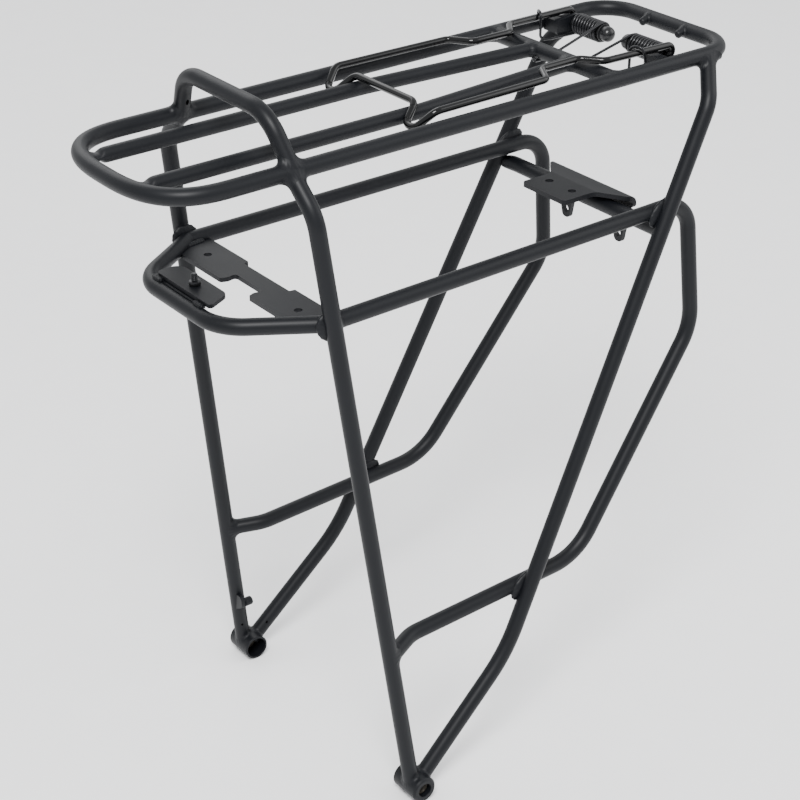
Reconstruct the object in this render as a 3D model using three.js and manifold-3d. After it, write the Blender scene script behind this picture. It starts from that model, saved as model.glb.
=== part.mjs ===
// Bicycle rear carrier: a welded tube rack with a sprung wire clamp on its deck.
// Millimetres, +X forward, +Y left, +Z up. The origin is the midpoint of the two dropout lugs.
import * as THREE from "three";
import { mergeVertices } from "three/addons/utils/BufferGeometryUtils.js";
import Module from "manifold-3d";

const wasm = await Module();
wasm.setup();

// Tube and wire stock
const TUBE_R = 5;
const BAR_R = 4.5;
const WIRE_R = 2.2;
const SPRING_R = 0.9;
const GAP = 0.3;
const TUBE_SIDES = 16;

// Deck
const DECK_Z = 409.4;
const DECK_HALF = 57.5;
const DECK_FRONT_X = 281.5;
const DECK_FRONT_BEND = 24;
const DECK_REAR_X = -82;
const DECK_REAR_REACH = 45.5;
const DECK_REAR_POWER = 2.8;
const BAR_Y = 26.8;
const BAR_FRONT_Y = 17.3;
const BAR_BEND_X = 60;
const BAR_PINCH_X = -112;
const CROSS_X = 184.3;
const PEG_Y = 16.5;

// Rear hoop
const HOOP_FOOT_X = -45.8;
const HOOP_TOP_X = -50.5;
const HOOP_TOP_Z = 439.2;
const HOOP_CORNER_Y = 41.5;
const HOOP_BEND = 24;

// Side frames: legs and struts lean inwards, and the rails run along their inner faces
const LEG_Y0 = 97.6;
const LEG_X0 = -3;
const LEG_RAKE = -0.1088;
const STRUT_Y0 = 96.6;
const STRUT_X0 = 41.5;
const STRUT_RAKE = 0.524;
const LEAN = -0.0536;
const LEG_BEND_Z = 389;
const STRUT_BEND_Z = 387;
const RAIL_REAR_X = -36;
const RAIL_REAR_Y = 72.8;
const RAIL_REAR_Z = 322.4;
const RAIL_FRONT_Z = 323.7;

// Dropout lugs
const LUG_R = 8.5;
const LUG_IN_Y = 85.4;
const LUG_OUT_Y = 107.6;
const LUG_BORE_R = 7.1;
const LUG_BORE_DEPTH = 14;
const LUG_HOLE_R = 4.6;

// Bridge and its bracket
const BRIDGE_X = 211.9;
const BRIDGE_Z = 310.6;
const BRIDGE_HALF = 76;
const SHEET = 3;
const BRACKET_TOP_Z = 320;
const FLANGE_X = 221.6;
const EYELET_Z = 290.6;
const EYELET_Y = 25.5;
const TONGUE_X = 178.2;

// Tail
const TAIL_X = -87.9;
const TAIL_CORNER_Y = 40;
const TAIL_BEND = 30;
const MUDGUARD_Z = 319.2;
const MUDGUARD_SHEET = 2.8;
const LIGHT_Z = 328.4;
const LIGHT_SHEET = 2.4;
const STUD_X = -77.5;
const STUD_R = 2;

// Leg hook
const HOOK_Z = 40.2;
const HOOK_X = -10.5;

// Clamp pivot
const PIVOT_X = 237.5;
const PIVOT_Z = 409.5;
const COIL_R = 6;
const COIL_TURNS = 9.5;
const COIL_IN_Y = 14.5;
const COIL_OUT_Y = 38.2;
const ARM_Z = 417;

const legX = (z) => LEG_X0 + LEG_RAKE * z;
const legY = (z) => LEG_Y0 + LEAN * z;
const strutX = (z) => STRUT_X0 + STRUT_RAKE * z;
const strutY = (z) => STRUT_Y0 + LEAN * z;
const vec = (x, y, z) => new THREE.Vector3(x, y, z);

// ---- solids ----

// A three.js geometry as a manifold solid, turned outwards if it came inside out.
function toSolid(geometry) {
  const bare = new THREE.BufferGeometry();
  const source = geometry.index ? geometry.toNonIndexed() : geometry;
  bare.setAttribute("position", source.getAttribute("position"));
  const merged = mergeVertices(bare, 1e-4);
  const tris = new Uint32Array(merged.index.array);
  const pos = merged.attributes.position;
  let volume = 0;
  const a = vec(0, 0, 0);
  const b = vec(0, 0, 0);
  const c = vec(0, 0, 0);
  for (let i = 0; i < tris.length; i += 3) {
    a.fromBufferAttribute(pos, tris[i]);
    b.fromBufferAttribute(pos, tris[i + 1]);
    c.fromBufferAttribute(pos, tris[i + 2]);
    volume += a.dot(b.cross(c));
  }
  if (volume < 0) {
    for (let i = 0; i < tris.length; i += 3) {
      const keep = tris[i + 1];
      tris[i + 1] = tris[i + 2];
      tris[i + 2] = keep;
    }
  }
  const mesh = new wasm.Mesh({ numProp: 3, vertProperties: new Float32Array(pos.array), triVerts: tris });
  return new wasm.Manifold(mesh);
}

function toGeometry(solid) {
  const mesh = solid.getMesh();
  const geometry = new THREE.BufferGeometry();
  geometry.setAttribute("position", new THREE.BufferAttribute(new Float32Array(mesh.vertProperties), 3));
  geometry.setIndex(new THREE.BufferAttribute(new Uint32Array(mesh.triVerts), 1));
  return geometry;
}

const mirrorY = (solid) => solid.mirror([0, 1, 0]);

// A polyline whose inner corners are rounded; each vertex is [x, y, z, bend radius].
function bentPath(vertices, closed = false, step = 15) {
  const points = [];
  const count = vertices.length;
  for (let i = 0; i < count; i += 1) {
    const here = vec(...vertices[i].slice(0, 3));
    const radius = vertices[i][3] || 0;
    const end = !closed && (i === 0 || i === count - 1);
    if (end || radius === 0) {
      points.push(here);
      continue;
    }
    const before = vec(...vertices[(i + count - 1) % count].slice(0, 3));
    const after = vec(...vertices[(i + 1) % count].slice(0, 3));
    const u = here.clone().sub(before).normalize();
    const v = after.clone().sub(here).normalize();
    const turn = u.angleTo(v);
    const tangent = radius * Math.tan(turn / 2);
    const inward = v.clone().sub(u.clone().multiplyScalar(u.dot(v))).normalize();
    const start = here.clone().addScaledVector(u, -tangent);
    const centre = start.clone().addScaledVector(inward, radius);
    const steps = Math.max(2, Math.ceil((turn * 180) / Math.PI / step));
    for (let k = 0; k <= steps; k += 1) {
      const angle = (turn * k) / steps;
      const point = centre.clone();
      point.addScaledVector(inward, -radius * Math.cos(angle));
      point.addScaledVector(u, radius * Math.sin(angle));
      points.push(point);
    }
  }
  return points;
}

// A closed skin swept along points. size(i) gives the half width and half height of the section.
function sweep(points, size, sides = TUBE_SIDES, closed = false, up = vec(0, 0, 1)) {
  const count = points.length;
  const tangents = points.map((p, i) => {
    const before = closed ? points[(i + count - 1) % count] : points[Math.max(0, i - 1)];
    const after = closed ? points[(i + 1) % count] : points[Math.min(count - 1, i + 1)];
    const into = p.clone().sub(before);
    const out = after.clone().sub(p);
    if (into.length() < 1e-9) return out.normalize();
    if (out.length() < 1e-9) return into.normalize();
    return into.normalize().add(out.normalize()).normalize();
  });
  let side = up.clone().cross(tangents[0]);
  if (side.length() < 0.2) side = vec(1, 0, 0).cross(tangents[0]);
  side.normalize();
  const rings = [];
  for (let i = 0; i < count; i += 1) {
    const t = tangents[i];
    if (closed) side = up.clone().cross(t).normalize();
    else side = side.sub(t.clone().multiplyScalar(side.dot(t))).normalize();
    const top = t.clone().cross(side).normalize();
    const half = size(i, count);
    const before = points[closed ? (i + count - 1) % count : Math.max(0, i - 1)];
    const bend = i > 0 || closed ? t.dot(points[i].clone().sub(before).normalize()) : 1;
    const stretch = i === count - 1 && !closed ? 1 : 1 / Math.max(0.8, Math.abs(bend));
    const ring = [];
    for (let k = 0; k < sides; k += 1) {
      const angle = (2 * Math.PI * k) / sides;
      const p = points[i].clone();
      p.addScaledVector(side, half[0] * Math.cos(angle) * Math.min(stretch, 1.02));
      p.addScaledVector(top, half[1] * Math.sin(angle));
      ring.push(p);
    }
    rings.push(ring);
  }
  const position = rings.flat().flatMap((p) => [p.x, p.y, p.z]);
  const index = [];
  const last = closed ? count : count - 1;
  for (let i = 0; i < last; i += 1) {
    const a = i * sides;
    const b = ((i + 1) % count) * sides;
    for (let k = 0; k < sides; k += 1) {
      const n = (k + 1) % sides;
      index.push(a + k, a + n, b + n, a + k, b + n, b + k);
    }
  }
  if (!closed) {
    const end = (count - 1) * sides;
    for (let k = 1; k < sides - 1; k += 1) {
      index.push(0, k + 1, k);
      index.push(end, end + k, end + k + 1);
    }
  }
  const geometry = new THREE.BufferGeometry();
  geometry.setAttribute("position", new THREE.Float32BufferAttribute(position, 3));
  geometry.setIndex(index);
  return toSolid(geometry);
}

const round = (r) => () => [r, r];
const pipe = (vertices, r = TUBE_R, sides = TUBE_SIDES) => sweep(bentPath(vertices), round(r), sides);

// A cylinder between two points.
function rod(from, to, r, sides = 24) {
  return sweep([vec(...from), vec(...to)], round(r), sides);
}

// A flat outline drawn in one plane and pushed through a thickness.
// plane "xy" rises along z from base, "xz" runs along y from base, "yz" runs along x from base.
function slab(outline, base, depth, plane = "xy") {
  const shape = new THREE.Shape(outline.map(([u, v]) => new THREE.Vector2(u, v)));
  const geometry = new THREE.ExtrudeGeometry(shape, { depth, bevelEnabled: false, steps: 1 });
  const m = new THREE.Matrix4();
  if (plane === "xy") m.makeTranslation(0, 0, base);
  if (plane === "xz") m.set(1, 0, 0, 0, 0, 0, 1, base, 0, 1, 0, 0, 0, 0, 0, 1);
  if (plane === "yz") m.set(0, 0, 1, base, 1, 0, 0, 0, 0, 1, 0, 0, 0, 0, 0, 1);
  geometry.applyMatrix4(m);
  return toSolid(geometry);
}

// A flat polygon whose corners are rounded; each corner is [u, v, radius].
function roundedOutline(corners) {
  const path = bentPath(corners.map(([u, v, r]) => [u, v, 0, r || 0]), true, 18);
  return path.map((p) => [p.x, p.y]);
}

// A solid of revolution about the Y axis through (x, z); the profile holds [radius, y].
function turned(profile, x, z, segments = 28) {
  const points = profile.map(([r, y]) => new THREE.Vector2(r, y));
  const geometry = new THREE.LatheGeometry(points, segments);
  geometry.translate(x, 0, z);
  return toSolid(geometry);
}

// ---- centrelines ----

function deckLoopPoints() {
  const points = [];
  const steps = 30;
  for (let i = 0; i <= steps; i += 1) {
    const angle = Math.PI / 2 - (Math.PI * i) / steps;
    const c = Math.abs(Math.cos(angle)) ** (2 / DECK_REAR_POWER);
    const s = Math.sign(Math.sin(angle)) * Math.abs(Math.sin(angle)) ** (2 / DECK_REAR_POWER);
    points.push(vec(DECK_REAR_X - DECK_REAR_REACH * c, DECK_HALF * s, DECK_Z));
  }
  const front = bentPath([
    [DECK_REAR_X, -DECK_HALF, DECK_Z, 0],
    [DECK_FRONT_X, -DECK_HALF, DECK_Z, DECK_FRONT_BEND],
    [DECK_FRONT_X, DECK_HALF, DECK_Z, DECK_FRONT_BEND],
    [DECK_REAR_X, DECK_HALF, DECK_Z, 0],
  ]);
  return points.concat(front.slice(1, -1));
}

const legLine = () => [
  [LEG_X0, LEG_Y0, 0],
  [legX(LEG_BEND_Z), legY(LEG_BEND_Z), LEG_BEND_Z, 24],
  [HOOP_FOOT_X - 0.8, DECK_HALF + 0.1, DECK_Z - 4],
];

const strutLine = () => [
  [-1.6, strutY(-3), -4],
  [75.4, strutY(64.4), 64.4, 100],
  [strutX(STRUT_BEND_Z), strutY(STRUT_BEND_Z), STRUT_BEND_Z, 22],
  [258.8, DECK_HALF, DECK_Z - 4],
];

const railLine = () => [
  [-13.9, legY(99) + 0.5, 98.9],
  [9, 82.3, 100.5, 26],
  [141.9, 82.2, 105.7, 40],
  [242.4, 73.1, 237, 35],
  [236.4, 69.7, RAIL_FRONT_Z, 20],
  [RAIL_REAR_X, RAIL_REAR_Y, RAIL_REAR_Z],
];

const bridgeLine = () => [
  [BRIDGE_X, -BRIDGE_HALF, BRIDGE_Z],
  [BRIDGE_X, BRIDGE_HALF, BRIDGE_Z],
];

function tailPoints() {
  const x = RAIL_REAR_X - GAP;
  const quarter = [
    [x, RAIL_REAR_Y, RAIL_REAR_Z, 0],
    [x - 2.5, RAIL_REAR_Y, RAIL_REAR_Z, 3],
    [TAIL_X, TAIL_CORNER_Y, RAIL_REAR_Z, TAIL_BEND],
  ];
  const mirrored = quarter.map(([px, py, pz, r]) => [px, -py, pz, r]).reverse();
  return bentPath([...quarter, ...mirrored]);
}

// The clamp wire from the middle of the handle to the end of the left axle.
const bailHalf = () => [
  [57, 0, ARM_Z],
  [57, 29.5, ARM_Z, 4.5],
  [46, 36, 408, 4],
  [46, 41.5, 407.5, 4],
  [56.5, 49.5, ARM_Z, 4.5],
  [139, 47.5, ARM_Z, 3.5],
  [147.5, 32.5, ARM_Z + 0.5, 4],
  [176.5, 32, ARM_Z + 0.5, 5],
  [186.5, 45, ARM_Z + 0.4, 5],
  [243, 46.3, ARM_Z - 0.2, 3.2],
  [PIVOT_X, 46.3, PIVOT_Z, 2.6],
  [PIVOT_X, 9.5, PIVOT_Z],
];

function bailPoints() {
  const left = bentPath(bailHalf(), false, 20);
  const right = left.slice(1).map((p) => vec(p.x, -p.y, p.z));
  return right.reverse().concat(left);
}

// The left torsion spring: hook under the cross tube, coil, and hook over the clamp arm.
function springPoints() {
  const lead = bentPath([
    [178.4, 12, 406.6, 0],
    [179.6, 12, 403.6, 1.6],
    [190, 12, 403.6, 8],
    [PIVOT_X - 2.2, COIL_IN_Y - 0.2, PIVOT_Z + COIL_R, 0],
  ], false, 24);
  const coil = [];
  const perTurn = 12;
  const steps = Math.round(COIL_TURNS * perTurn);
  for (let i = 0; i <= steps; i += 1) {
    const angle = Math.PI / 2 - (2 * Math.PI * COIL_TURNS * i) / steps;
    const y = COIL_IN_Y + ((COIL_OUT_Y - COIL_IN_Y) * i) / steps;
    coil.push(vec(PIVOT_X + COIL_R * Math.cos(angle), y, PIVOT_Z + COIL_R * Math.sin(angle)));
  }
  const hook = bentPath([
    [PIVOT_X - 3, COIL_OUT_Y + 0.2, PIVOT_Z - COIL_R, 0],
    [220, 39.2, 403.6, 4],
    [213.5, 41.6, 403.8, 3],
    [214.5, 41.6, 420.6, 3.2],
    [217.5, 49.1, 420.6, 3.2],
    [219.5, 48.9, 408.5, 0],
  ], false, 24);
  return lead.concat(coil, hook);
}

// ---- parts ----

const deckTube = (extra) => sweep(deckLoopPoints(), round(TUBE_R + extra), TUBE_SIDES, true);
const legTube = (extra) => pipe(legLine(), TUBE_R + extra);
const strutTube = (extra) => pipe(strutLine(), TUBE_R + extra);
const railTube = (extra) => pipe(railLine(), TUBE_R + extra);
const lugBlank = (extra) => rod([0, LUG_IN_Y - 1, 0], [0, LUG_OUT_Y + 1, 0], LUG_R + extra, 28);
const bridgeTube = (extra) => pipe(bridgeLine(), TUBE_R + extra);
const tailTube = (extra) => sweep(tailPoints(), round(TUBE_R + extra));
const crossTube = (extra) => rod([CROSS_X, -DECK_HALF, DECK_Z], [CROSS_X, DECK_HALF, DECK_Z], TUBE_R + extra, 20);

const deckCut = deckTube(GAP);
const legCut = legTube(GAP);
const strutCut = strutTube(GAP);
const railCut = railTube(GAP);

function deckBar() {
  const points = [];
  const radii = [];
  const add = (x, y, w, h) => {
    points.push(vec(x, y, DECK_Z));
    radii.push([w, h]);
  };
  add(-124, BAR_Y, 4.2, 1.9);
  add(BAR_PINCH_X - 3, BAR_Y, 4.4, 2.1);
  add(BAR_PINCH_X, BAR_Y, BAR_R, 3.1);
  add(BAR_PINCH_X + 4, BAR_Y, BAR_R, BAR_R);
  add(BAR_BEND_X - 6, BAR_Y, BAR_R, BAR_R);
  add(BAR_BEND_X, BAR_Y - 0.15, BAR_R, BAR_R);
  add(BAR_BEND_X + 6, BAR_Y - 0.55, BAR_R, BAR_R);
  add(CROSS_X, BAR_FRONT_Y, BAR_R, BAR_R);
  const solid = sweep(points, (i) => radii[i]);
  return solid.subtract(deckCut).subtract(crossTube(GAP));
}

function rearHoop() {
  const vertices = [
    [HOOP_FOOT_X, -DECK_HALF, DECK_Z, 0],
    [HOOP_TOP_X, -HOOP_CORNER_Y, HOOP_TOP_Z, HOOP_BEND],
    [HOOP_TOP_X, HOOP_CORNER_Y, HOOP_TOP_Z, HOOP_BEND],
    [HOOP_FOOT_X, DECK_HALF, DECK_Z, 0],
  ];
  return pipe(vertices).subtract(deckCut).trimByPlane([0, 0, 1], DECK_Z + 1);
}

function rearLeg() {
  return legTube(0).subtract(deckCut).subtract(lugBlank(GAP)).trimByPlane([0, 0, 1], 0);
}

function frontStrut() {
  const lowest = vec(0.66, 0, 0.75).normalize();
  return strutTube(0)
    .subtract(deckCut)
    .subtract(lugBlank(GAP))
    .trimByPlane([lowest.x, 0, lowest.z], 4);
}

function pannierRail() {
  return railTube(0).subtract(legCut).subtract(strutCut).trimByPlane([0, -1, 0], -legY(99));
}

function bridge() {
  const both = strutCut.add(railCut);
  return bridgeTube(0).subtract(both).subtract(mirrorY(both));
}

function dropoutLug() {
  const rim = 1.2;
  return turned(
    [
      [LUG_BORE_R, LUG_IN_Y],
      [LUG_R - 0.5, LUG_IN_Y],
      [LUG_R, LUG_IN_Y + 0.5],
      [LUG_R, LUG_OUT_Y - rim],
      [LUG_R - rim, LUG_OUT_Y],
      [LUG_HOLE_R, LUG_OUT_Y],
      [LUG_HOLE_R, LUG_IN_Y + LUG_BORE_DEPTH],
      [LUG_BORE_R, LUG_IN_Y + LUG_BORE_DEPTH],
      [LUG_BORE_R, LUG_IN_Y],
    ],
    0,
    0,
    28,
  );
}

function lugInsert() {
  const shoulder = LUG_IN_Y + LUG_BORE_DEPTH - GAP;
  return turned(
    [
      [3, shoulder - 3.2],
      [5.6, shoulder - 3.2],
      [6.1, shoulder - 2.6],
      [6.1, shoulder],
      [LUG_HOLE_R - GAP, shoulder],
      [LUG_HOLE_R - GAP, shoulder + 5],
      [3, shoulder + 5],
      [3, shoulder - 3.2],
    ],
    0,
    0,
    20,
  );
}

// The bracket sheet seen from the side: flat tongue, slight fall, fold and front flange.
function bracketSheet() {
  const middle = bentPath([
    [TONGUE_X - 0.2, BRACKET_TOP_Z, 0, 0],
    [204, BRACKET_TOP_Z, 0, 8],
    [216, BRACKET_TOP_Z - 1.4, 0, 8],
    [FLANGE_X, BRACKET_TOP_Z - 1.7, 0, 4],
    [FLANGE_X, EYELET_Z - 7.6, 0, 0],
  ]);
  const outer = [];
  const inner = [];
  middle.forEach((p, i) => {
    const before = middle[Math.max(0, i - 1)];
    const after = middle[Math.min(middle.length - 1, i + 1)];
    const along = after.clone().sub(before).normalize();
    outer.push([p.x - (along.y * SHEET) / 2, p.y + (along.x * SHEET) / 2]);
    inner.push([p.x + (along.y * SHEET) / 2, p.y - (along.x * SHEET) / 2]);
  });
  return slab(outer.concat(inner.reverse()), -40, 80, "xz");
}

function frontBracket() {
  const plan = slab(
    roundedOutline([
      [TONGUE_X, -20.8, 3],
      [TONGUE_X, 20.8, 3],
      [203, 20.8, 9],
      [217, 38.5, 4],
      [230, 38.5],
      [230, -38.5],
      [217, -38.5, 4],
      [203, -20.8, 9],
    ]),
    BRACKET_TOP_Z - 50,
    60,
  );
  const face = slab(
    roundedOutline([
      [-39, 330],
      [-39, 310.8, 4.5],
      [-34.5, 310.8, 1.5],
      [-28.6, 284.6, 3],
      [-22.4, 284.6, 3],
      [-16.5, 310.8, 2],
      [16.5, 310.8, 2],
      [22.4, 284.6, 3],
      [28.6, 284.6, 3],
      [34.5, 310.8, 1.5],
      [39, 310.8, 4.5],
      [39, 330],
    ]),
    170,
    70,
    "yz",
  );
  let solid = bracketSheet().intersect(plan).intersect(face);
  for (const side of [-1, 1]) {
    const hole = rod([193, 11 * side, BRACKET_TOP_Z - 10], [193, 11 * side, BRACKET_TOP_Z + 10], 2.7);
    const eyelet = rod([FLANGE_X - 6, EYELET_Y * side, EYELET_Z], [FLANGE_X + 6, EYELET_Y * side, EYELET_Z], 2.6);
    solid = solid.subtract(hole).subtract(eyelet);
  }
  return solid.subtract(bridgeTube(GAP));
}

function mudguardPlate() {
  const half = [
    [-51.9, 70],
    [-51.9, 15.2, 2],
    [-47.5, 13.5, 2],
    [-41.8, 14.6, 2],
  ];
  const front = [
    [-30, 24, 0.8],
    [-26.4, 24.5, 0.8],
    [-26.4, 70],
  ];
  const flip = (list) => list.map(([x, y, r]) => [x, -y, r]).reverse();
  const outline = roundedOutline([...half, ...flip(half), ...flip(front), ...front]);
  let solid = slab(outline, MUDGUARD_Z, MUDGUARD_SHEET);
  for (const y of [-48, 48]) solid = solid.subtract(rod([-40, y, MUDGUARD_Z - 9], [-40, y, MUDGUARD_Z + 9], 2.5));
  const outside = tailTube(GAP).add(railCut).add(mirrorY(railCut));
  solid = solid.subtract(outside);
  const inside = (list) => list.sort((a, b) => b.volume() - a.volume())[0];
  return inside(solid.decompose());
}

function tailLightPlate() {
  const body = slab(
    roundedOutline([
      [-85.2, -29, 2],
      [-69.2, -21, 6],
      [-69.2, 29.8, 7],
      [-85.2, 29.8, 3],
    ]),
    LIGHT_Z,
    LIGHT_SHEET,
  );
  const tab = (y) => slab([[-88, y - 4], [-84.3, y - 4], [-84.3, y + 4], [-88, y + 4]], LIGHT_Z - 2.4, 3.2);
  let solid = body.add(tab(26)).add(tab(-18));
  solid = solid.subtract(rod([STUD_X, 0, LIGHT_Z - 8], [STUD_X, 0, LIGHT_Z + 12], STUD_R + GAP));
  return solid.subtract(tailTube(GAP));
}

function tailLightStud() {
  const nutZ = LIGHT_Z + LIGHT_SHEET + GAP;
  const profile = [
    [0, LIGHT_Z - 5.4],
    [3.6, LIGHT_Z - 5.4],
    [3.6, LIGHT_Z - GAP],
    [STUD_R - 0.1, LIGHT_Z - GAP],
    [STUD_R - 0.1, nutZ],
    [3.3, nutZ],
    [3.3, nutZ + 2.3],
    [STUD_R, nutZ + 2.8],
    [STUD_R, nutZ + 6.1],
    [STUD_R - 0.6, nutZ + 6.9],
    [0, nutZ + 6.9],
  ];
  const geometry = new THREE.LatheGeometry(profile.map(([r, z]) => new THREE.Vector2(r, z)), 20);
  geometry.applyMatrix4(new THREE.Matrix4().set(1, 0, 0, STUD_X, 0, 0, 1, 0, 0, 1, 0, 0, 0, 0, 0, 1));
  return toSolid(geometry);
}

// The small tab and peg on the inner face of the left leg.
function hookTab() {
  const tab = slab(
    roundedOutline([
      [96, HOOK_Z + 5.3],
      [84.4, HOOK_Z + 5.6, 3.4],
      [84.4, HOOK_Z - 2.8, 3.4],
      [90, HOOK_Z - 5.7, 3],
      [97, HOOK_Z - 9.7],
    ]),
    HOOK_X,
    3,
    "yz",
  );
  return tab.subtract(legCut).trimByPlane([0, -1, 0], -legY(HOOK_Z) + 1.5);
}

const hookPeg = () => rod([HOOK_X + 3.3, 86.4, HOOK_Z], [HOOK_X + 9.1, 86.4, HOOK_Z], 3, 16);

function frontPeg() {
  const solid = rod([DECK_FRONT_X - 2, PEG_Y, DECK_Z + 1.5], [DECK_FRONT_X - 10, PEG_Y, DECK_Z - 1.5], 2.7, 12);
  return solid.subtract(deckCut).trimByPlane([-1, 0, 0], -(DECK_FRONT_X - 2));
}

function pivotBracket() {
  const plate = slab(
    roundedOutline([
      [222, 404, 2.5],
      [243.5, 402.8, 5.4],
      [243.5, 415.6, 5.4],
      [222, 413.6, 2.5],
    ]),
    40.4,
    2.8,
    "xz",
  );
  const foot = slab(
    [
      [222, 43],
      [229, 43],
      [229, 53.5],
      [222, 53.5],
    ],
    405,
    8.4,
  );
  const hole = rod([PIVOT_X, 39, PIVOT_Z], [PIVOT_X, 45, PIVOT_Z], WIRE_R + GAP, 20);
  return plate.add(foot).subtract(hole).subtract(deckCut);
}

function pivotSleeve() {
  const bore = WIRE_R + GAP;
  return turned(
    [
      [bore, 12.6],
      [5.8, 12.6],
      [5.8, 13.4],
      [4.5, 13.4],
      [4.5, 40.1],
      [bore, 40.1],
      [bore, 12.6],
    ],
    PIVOT_X,
    PIVOT_Z,
    24,
  );
}

function springCap() {
  const bore = WIRE_R + GAP;
  const profile = [
    [bore, 12.3],
    [4.9, 12.3],
  ];
  for (let i = 0; i <= 6; i += 1) {
    const angle = (Math.PI / 2) * (i / 6);
    profile.push([4.9 * Math.cos(angle), 9.6 - 4.4 * Math.sin(angle)]);
  }
  profile[profile.length - 1][0] = 0;
  profile.push([0, 8.6], [bore, 8.6], [bore, 12.3]);
  return turned(profile, PIVOT_X, PIVOT_Z, 24);
}

const clampSpring = () => sweep(springPoints(), round(SPRING_R), 6, false, vec(0, 1, 0));
const clampBail = () => sweep(bailPoints(), round(WIRE_R), 8);

// ---- assembly ----

const COLOURS = {
  frame: 0x303235,
  plate: 0x34363a,
  wire: 0x141517,
  spring: 0x1b1c1f,
  rubber: 0x101012,
  insert: 0x8a7448,
  steel: 0x2b2d30,
};

const group = new THREE.Group();
group.name = "rear_carrier";

function add(name, solid, colour) {
  const material = new THREE.MeshStandardMaterial({ color: COLOURS[colour], roughness: 0.5, metalness: 0.3 });
  const mesh = new THREE.Mesh(toGeometry(solid), material);
  mesh.name = name;
  group.add(mesh);
}

function addPair(name, solid, colour) {
  add(`${name}_l`, solid, colour);
  add(`${name}_r`, mirrorY(solid), colour);
}

add("deck_loop", deckTube(0), "frame");
addPair("deck_bar", deckBar(), "frame");
add("deck_cross_tube", crossTube(0).subtract(deckCut), "frame");
addPair("front_peg", frontPeg(), "frame");
add("rear_hoop", rearHoop(), "frame");
addPair("rear_leg", rearLeg(), "frame");
addPair("front_strut", frontStrut(), "frame");
addPair("pannier_rail", pannierRail(), "frame");
add("tail_loop", tailTube(0).subtract(legCut).subtract(mirrorY(legCut)), "frame");
add("front_bridge_tube", bridge(), "frame");
add("front_bracket", frontBracket(), "plate");
addPair("dropout_lug", dropoutLug(), "frame");
addPair("lug_insert", lugInsert(), "insert");
add("mudguard_plate", mudguardPlate(), "plate");
add("tail_light_plate", tailLightPlate(), "plate");
add("tail_light_stud", tailLightStud(), "steel");
add("hook_tab", hookTab(), "frame");
add("hook_peg", hookPeg(), "frame");
addPair("pivot_bracket", pivotBracket(), "frame");
addPair("pivot_sleeve", pivotSleeve(), "rubber");
add("clamp_bail", clampBail(), "wire");
addPair("clamp_spring", clampSpring(), "spring");
addPair("spring_cap", springCap(), "rubber");

export default group;
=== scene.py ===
"""A bicycle rear carrier in satin black powder coat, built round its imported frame.

Every tube, wire and weld is a surface worked out with numpy in the frame's own metres. The sheet parts
are the frame's own solids with rounded edges. Lengths in the classes are millimetres, as in the CAD.
"""

import logging
import math
from dataclasses import dataclass, field
from enum import Enum
from typing import Iterable, Sequence

import bmesh
import bpy
import numpy as np
from mathutils import Matrix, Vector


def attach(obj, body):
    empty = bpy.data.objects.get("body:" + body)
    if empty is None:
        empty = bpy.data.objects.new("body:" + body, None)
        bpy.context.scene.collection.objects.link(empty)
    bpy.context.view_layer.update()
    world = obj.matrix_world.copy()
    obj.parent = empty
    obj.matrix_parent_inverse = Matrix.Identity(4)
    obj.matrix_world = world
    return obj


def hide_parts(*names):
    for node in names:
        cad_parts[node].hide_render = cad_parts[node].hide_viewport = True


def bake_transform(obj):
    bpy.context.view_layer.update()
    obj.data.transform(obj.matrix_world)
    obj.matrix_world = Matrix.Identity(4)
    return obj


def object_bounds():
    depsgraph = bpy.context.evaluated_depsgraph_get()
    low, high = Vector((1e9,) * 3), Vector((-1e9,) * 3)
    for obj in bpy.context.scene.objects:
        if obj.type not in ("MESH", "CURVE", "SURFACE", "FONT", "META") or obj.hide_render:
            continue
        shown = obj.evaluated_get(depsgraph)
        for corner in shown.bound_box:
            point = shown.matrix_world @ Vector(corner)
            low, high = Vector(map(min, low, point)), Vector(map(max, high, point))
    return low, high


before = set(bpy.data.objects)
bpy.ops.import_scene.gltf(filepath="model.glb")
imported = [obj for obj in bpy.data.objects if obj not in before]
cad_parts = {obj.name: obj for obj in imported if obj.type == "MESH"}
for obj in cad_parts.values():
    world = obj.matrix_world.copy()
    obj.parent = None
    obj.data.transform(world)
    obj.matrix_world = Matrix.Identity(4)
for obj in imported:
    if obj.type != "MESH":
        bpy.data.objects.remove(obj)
CAD_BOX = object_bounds()

LOG = logging.getLogger("carrier")
MM = 0.001
Array = np.ndarray
X_AXIS = np.array([1.0, 0.0, 0.0])
Y_AXIS = np.array([0.0, 1.0, 0.0])
Z_AXIS = np.array([0.0, 0.0, 1.0])
SKEW = np.array([0.62, 0.5, 0.605])
SAME_POINT = 0.002
FLAT_DEGREES = 1.5
BUMP_HEIGHT = 0.05
LUG_RADIUS = 8.5
FLOOR_GAP = 0.3
SCUFF_DULLING = 0.15


class Side(Enum):
    """The two sides of the carrier; the value is the sign of y."""

    LEFT = 1
    RIGHT = -1

    @property
    def tail(self) -> str:
        """The ending that this side's CAD nodes carry."""
        return "_l" if self is Side.LEFT else "_r"

    def place(self, points: Array) -> Array:
        """Left-hand points moved to this side by the sign of y."""
        return np.asarray(points, float) * np.array([1.0, self.value, 1.0])


class Slot(Enum):
    """The record's material slots."""

    FRAME = "frame_black"
    PLATE = "plate_black"
    WIRE = "wire_black"
    SPRING = "spring_steel"
    STUD = "stud_steel"
    INSERT = "insert_brass"
    SLEEVE = "sleeve_plastic"
    CAP = "cap_plastic"


class Body(Enum):
    """The two rigid bodies of the carrier."""

    RACK = "rack"
    CLAMP = "clamp"


# ---- surfaces ----


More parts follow.
